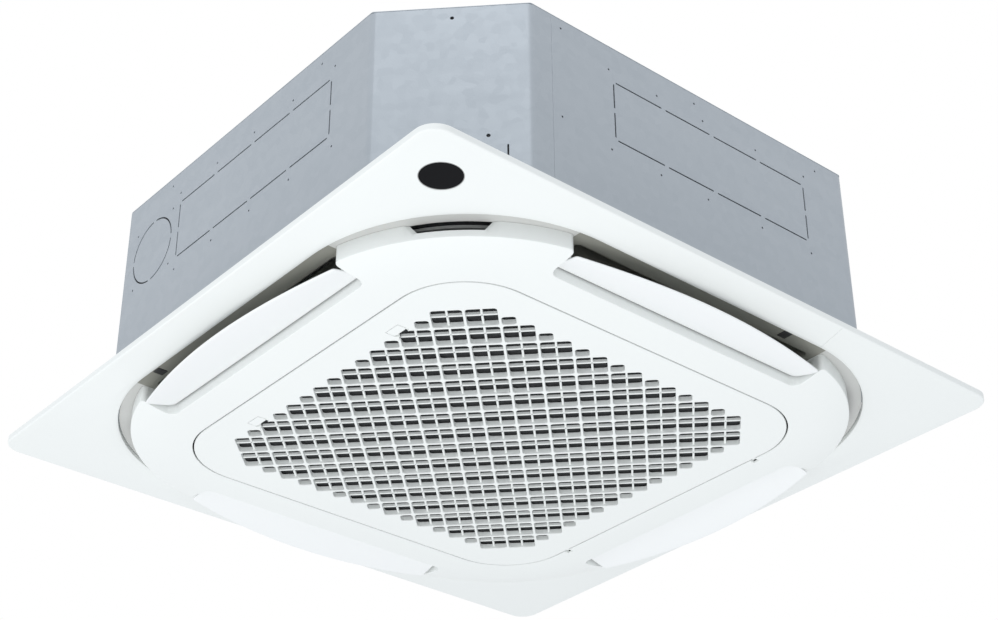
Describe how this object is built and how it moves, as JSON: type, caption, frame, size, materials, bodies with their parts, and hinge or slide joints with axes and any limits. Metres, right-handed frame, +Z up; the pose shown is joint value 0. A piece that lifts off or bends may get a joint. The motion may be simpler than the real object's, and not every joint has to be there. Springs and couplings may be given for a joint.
{
  "type": "ceiling cassette air conditioner",
  "caption": "Ceiling cassette air conditioner: a sheet-metal body with a turbo fan inside a ring heat exchanger, over a square panel with outlet vanes round a hinged intake grille.",
  "frame": {"origin": "on the unit's vertical axis, in the plane of the ceiling, where the panel's rim meets it", "axes": "+Z up into the ceiling void; -Y towards the side of the grille's latches; the grille's hinge is on the +Y side; the pipes leave by the corner at -X, +Y"},
  "size_m": [0.95, 0.95, 0.3404],
  "materials": {
    "galvanised_sheet": "pale blue-grey zinc coating, satin",
    "dark_foam": "dark closed-cell foam",
    "white_foam": "moulded white foam",
    "bright_steel": "plain steel",
    "aluminium_fins": "packed thin fins",
    "copper": "drawn copper tube",
    "brass": "machined brass",
    "white_engineering_plastic": "moulded, plain",
    "black_plastic": "moulded, plain",
    "dark_window": "polished dark window",
    "circuit_board": "green lacquer",
    "panel_plastic": "white, semi-gloss",
    "grey_plastic": "light grey, plain"
  },
  "bodies": {
    "unit": {"body_front": "galvanised_sheet", "body_right": "galvanised_sheet", "body_back": "galvanised_sheet", "body_left": "galvanised_sheet", "top_plate": "galvanised_sheet", "side_lining": "dark_foam", "top_lining": "dark_foam", "hanger_1": "galvanised_sheet", "hanger_2": "galvanised_sheet", "hanger_3": "galvanised_sheet", "hanger_4": "galvanised_sheet", "motor_mount": "galvanised_sheet", "fan_motor": "bright_steel", "bell_mouth": "black_plastic", "heat_exchanger": "aluminium_fins", "tube_sheet_left": "copper", "tube_sheet_back": "copper", "drain_pan": "white_foam", "gas_pipe": "copper", "gas_flare_nut": "brass", "liquid_pipe": "copper", "liquid_flare_nut": "brass", "pipe_cover": "galvanised_sheet", "drain_pump": "white_engineering_plastic", "pump_bracket": "galvanised_sheet", "drain_outlet": "white_engineering_plastic", "float_guide": "white_engineering_plastic", "control_box": "galvanised_sheet", "control_cover": "galvanised_sheet", "control_board": "circuit_board", "terminal_block": "black_plastic", "outer_frame": "panel_plastic", "receiver_window": "dark_window", "receiver_board": "circuit_board", "inner_frame": "panel_plastic", "panel_deck": "grey_plastic", "panel_seal": "dark_foam", "stepper_front": "bright_steel", "stepper_right": "bright_steel", "stepper_back": "bright_steel", "stepper_left": "bright_steel", "hinge_pin_left": "bright_steel", "hinge_pin_right": "bright_steel"},
    "fan": {"fan_shaft": "bright_steel", "turbo_fan": "white_engineering_plastic", "fan_shroud": "white_engineering_plastic", "fan_washer": "bright_steel", "fan_nut": "bright_steel"},
    "grille": {"intake_grille": "panel_plastic", "air_filter": "black_plastic"},
    "latch_left": {"grille_latch_left": "panel_plastic"},
    "latch_right": {"grille_latch_right": "panel_plastic"},
    "front_vane": {"vane_front": "panel_plastic"},
    "right_vane": {"vane_right": "panel_plastic"},
    "back_vane": {"vane_back": "panel_plastic"},
    "left_vane": {"vane_left": "panel_plastic"},
    "float": {"float_switch": "black_plastic"}
  },
  "joints": [
    {"name": "fan_spin", "type": "hinge", "parent": "unit", "child": "fan", "pos_m": [0, 0, 0.2], "axis": [0, 0, 1], "continuous": true},
    {"name": "grille_hinge", "type": "hinge", "parent": "unit", "child": "grille", "pos_m": [0, 0.3175, -0.029], "axis": [1, 0, 0], "range_deg": [0, 85]},
    {"name": "latch_left_slide", "type": "slide", "parent": "grille", "child": "latch_left", "axis": [0, 1, 0], "range_m": [0, 0.004]},
    {"name": "latch_right_slide", "type": "slide", "parent": "grille", "child": "latch_right", "axis": [0, 1, 0], "range_m": [0, 0.004]},
    {"name": "float_lift", "type": "slide", "parent": "unit", "child": "float", "axis": [0, 0, 1], "range_m": [0, 0.02]},
    {"name": "vane_front_swing", "type": "hinge", "parent": "unit", "child": "front_vane", "pos_m": [0, -0.39, -0.015], "axis": [1, 0, 0], "range_deg": [-24, 20]},
    {"name": "vane_right_swing", "type": "hinge", "parent": "unit", "child": "right_vane", "pos_m": [0.39, 0, -0.015], "axis": [0, 1, 0], "range_deg": [-24, 20]},
    {"name": "vane_back_swing", "type": "hinge", "parent": "unit", "child": "back_vane", "pos_m": [0, 0.39, -0.015], "axis": [-1, 0, 0], "range_deg": [-24, 20]},
    {"name": "vane_left_swing", "type": "hinge", "parent": "unit", "child": "left_vane", "pos_m": [-0.39, 0, -0.015], "axis": [0, -1, 0], "range_deg": [-24, 20]}
  ]
}
